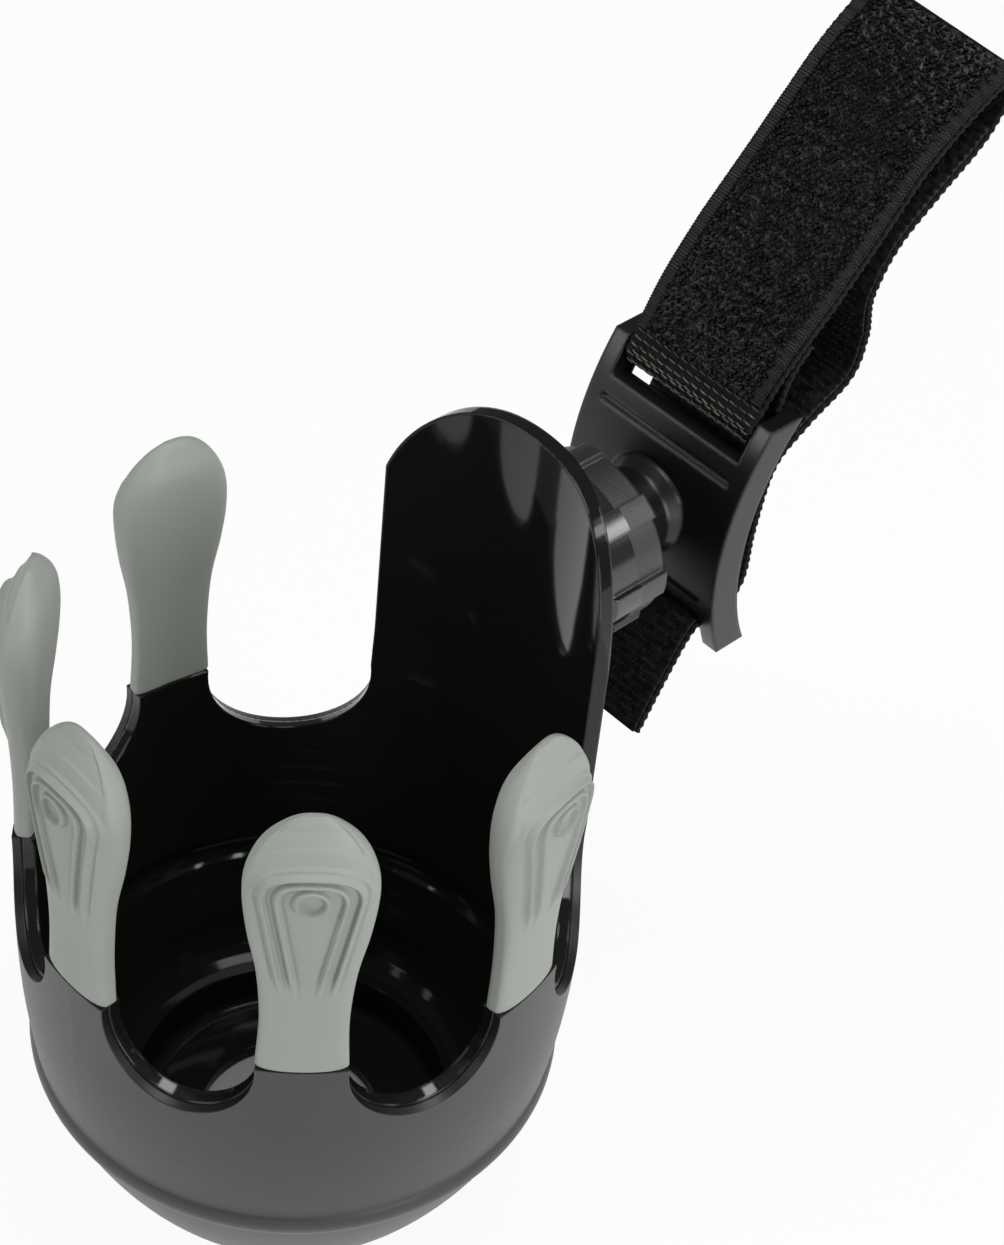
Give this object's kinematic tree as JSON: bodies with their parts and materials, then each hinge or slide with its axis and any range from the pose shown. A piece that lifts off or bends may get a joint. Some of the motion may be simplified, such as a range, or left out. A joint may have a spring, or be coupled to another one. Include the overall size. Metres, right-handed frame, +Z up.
{
  "type": "stroller cup holder",
  "caption": "Round cup holder with soft gripping fingers and a tall rear tab, on a swivel with a saddle plate and a strap that wraps a stroller handle tube.",
  "frame": {"origin": "centre of the cup's flat base", "axes": "+Z up along the cup's axis, +Y from the cup towards the clamp plate, X across the strap"},
  "size_m": [0.0972, 0.1849, 0.1869],
  "materials": {
    "liner_gloss": "polished black plastic",
    "shell_satin": "satin mid grey plastic",
    "grip_rubber": "soft matt grey-green rubber",
    "clamp_plastic": "satin black plastic, partly grained",
    "flange_plastic": "natural black plastic",
    "washer_rubber": "matt black rubber",
    "screw_steel": "zinc plated",
    "webbing": "woven black webbing",
    "pile": "black looped pile",
    "hook": "black hook tape"
  },
  "bodies": {
    "clamp": {"clamp_plate": "clamp_plastic", "swivel_flange": "flange_plastic", "flange_screw": "screw_steel", "strap_webbing": "webbing", "pile_tape": "pile", "hook_tape": "hook"},
    "holder": {"liner": "liner_gloss", "shell": "shell_satin", "grip_front": "grip_rubber", "grip_front_left": "grip_rubber", "grip_front_right": "grip_rubber", "grip_side_left": "grip_rubber", "grip_side_right": "grip_rubber"},
    "washer": {"washer": "washer_rubber"},
    "knob": {"knob": "clamp_plastic"}
  },
  "joints": [
    {"name": "swivel", "type": "hinge", "parent": "clamp", "child": "holder", "pos_m": [0, 0.06, 0.1105], "axis": [0, 1, 0], "continuous": true},
    {"name": "nut_travel", "type": "slide", "parent": "holder", "child": "washer", "axis": [0, 1, 0], "range_m": [0, 0.0023]},
    {"name": "nut_turn", "type": "hinge", "parent": "washer", "child": "knob", "pos_m": [0, 0.06, 0.1105], "axis": [0, 1, 0], "range_deg": [0, 270]}
  ],
  "couplings": [
    {"joint": "nut_travel", "follows": "nut_turn", "m_per_rad": 0.00047746}
  ]
}
